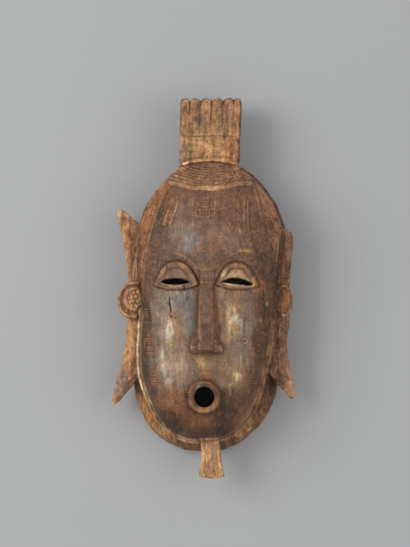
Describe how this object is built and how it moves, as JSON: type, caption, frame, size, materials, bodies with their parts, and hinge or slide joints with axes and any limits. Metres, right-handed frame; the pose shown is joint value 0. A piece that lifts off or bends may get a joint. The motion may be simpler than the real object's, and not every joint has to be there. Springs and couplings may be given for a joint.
{
  "type": "carved wooden face mask",
  "caption": "Carved wooden mask with an oval face, slit eyes, round mouth, fluted crest, ears, pointed side wings and a small beard tab.",
  "frame": {"origin": "on the plane of the back rim, under the middle of the mask's outline box", "axes": "+Z out of the face, +Y toward the crest, +X to the viewer's right"},
  "size_m": [0.1828, 0.3806, 0.1032],
  "materials": {
    "carved_wood": "worn dark brown patina, satin on the face and dull tan on ridges, crest and wings"
  },
  "bodies": {
    "root": {"mask": "carved_wood"}
  },
  "joints": []
}
